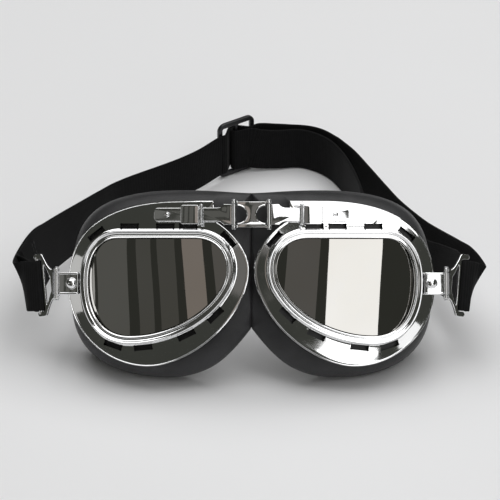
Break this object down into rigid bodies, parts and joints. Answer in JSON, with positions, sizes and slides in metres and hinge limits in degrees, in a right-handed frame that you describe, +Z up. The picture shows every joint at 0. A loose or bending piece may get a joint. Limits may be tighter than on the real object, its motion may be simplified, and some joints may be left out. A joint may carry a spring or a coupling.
{
  "type": "motorcycle goggles",
  "caption": "Aviator-style riding goggles: hinged chromed lens frames with mirrored smoke lenses on a soft face pad, with hinged strap hooks and an adjustable elastic head strap.",
  "frame": {"origin": "middle of the footprint of the whole object, on the table", "axes": "+Z up from the table, +X to the right as seen from the front (the left eyecup is at -X), +Y from the lenses towards the head strap; the face leans back 36 degrees"},
  "size_m": [0.2368, 0.2036, 0.0875],
  "materials": {
    "chrome": "polished chrome plate with light handling marks",
    "pin": "bright plated steel wire",
    "lens": "smoke lens with a gloss mirror coating",
    "retainer": "black moulded plastic",
    "pad": "soft matte black synthetic leather with fine grain",
    "roll": "black velvety lining",
    "strap": "black woven elastic webbing",
    "slider": "black moulded plastic, satin gloss"
  },
  "bodies": {
    "bridge": {"bridge_plate": "chrome", "bridge_pin_left": "pin", "bridge_pin_right": "pin", "strap_rear": "strap", "strap_left": "strap", "strap_right": "strap", "strap_return": "strap"},
    "left_eyecup": {"lens_frame_left": "chrome", "lens_left": "lens", "lens_retainer_left": "retainer", "hinge_tongue_left": "chrome", "tongue_keeper_left": "chrome", "keeper_bar_left": "chrome", "tongue_rivet_left": "chrome", "side_bracket_left": "chrome", "bracket_rivet_left": "chrome", "hook_pin_left": "pin", "face_pad_left": "pad", "face_roll_left": "roll"},
    "right_eyecup": {"lens_frame_right": "chrome", "lens_right": "lens", "lens_retainer_right": "retainer", "hinge_tongue_right": "chrome", "tongue_keeper_right": "chrome", "keeper_bar_right": "chrome", "tongue_rivet_right": "chrome", "side_bracket_right": "chrome", "bracket_rivet_right": "chrome", "hook_pin_right": "pin", "face_pad_right": "pad", "face_roll_right": "roll"},
    "left_hook": {"strap_hook_left": "chrome", "strap_end_left": "strap"},
    "right_hook": {"strap_hook_right": "chrome"},
    "slider": {"strap_slider": "slider"}
  },
  "joints": [
    {"name": "left_bridge_hinge", "type": "hinge", "parent": "bridge", "child": "left_eyecup", "pos_m": [-0.00723, -0.06515, 0.08087], "axis": [0, -0.5878, -0.809], "range_deg": [-6, 14], "stiffness_Nm_per_rad": 0.3, "deforming": ["face_pad_left", "face_roll_left", "strap_left"]},
    {"name": "right_bridge_hinge", "type": "hinge", "parent": "bridge", "child": "right_eyecup", "pos_m": [0.00997, -0.06515, 0.08087], "axis": [0, 0.5878, 0.809], "range_deg": [-6, 14], "stiffness_Nm_per_rad": 0.3, "deforming": ["face_pad_right", "face_roll_right", "strap_right", "strap_return"]},
    {"name": "left_hook_hinge", "type": "hinge", "parent": "left_eyecup", "child": "left_hook", "pos_m": [-0.09477, -0.07507, 0.04629], "axis": [0, -0.5878, -0.809], "range_deg": [-22, 28], "deforming": ["strap_end_left"]},
    {"name": "right_hook_hinge", "type": "hinge", "parent": "right_eyecup", "child": "right_hook", "pos_m": [0.09751, -0.07507, 0.04629], "axis": [0, 0.5878, 0.809], "range_deg": [-22, 28]},
    {"name": "slider_slide", "type": "slide", "parent": "bridge", "child": "slider", "axis": [0.8387, 0.5446, 0], "range_m": [-0.01, 0.01], "deforming": ["strap_rear"]}
  ]
}
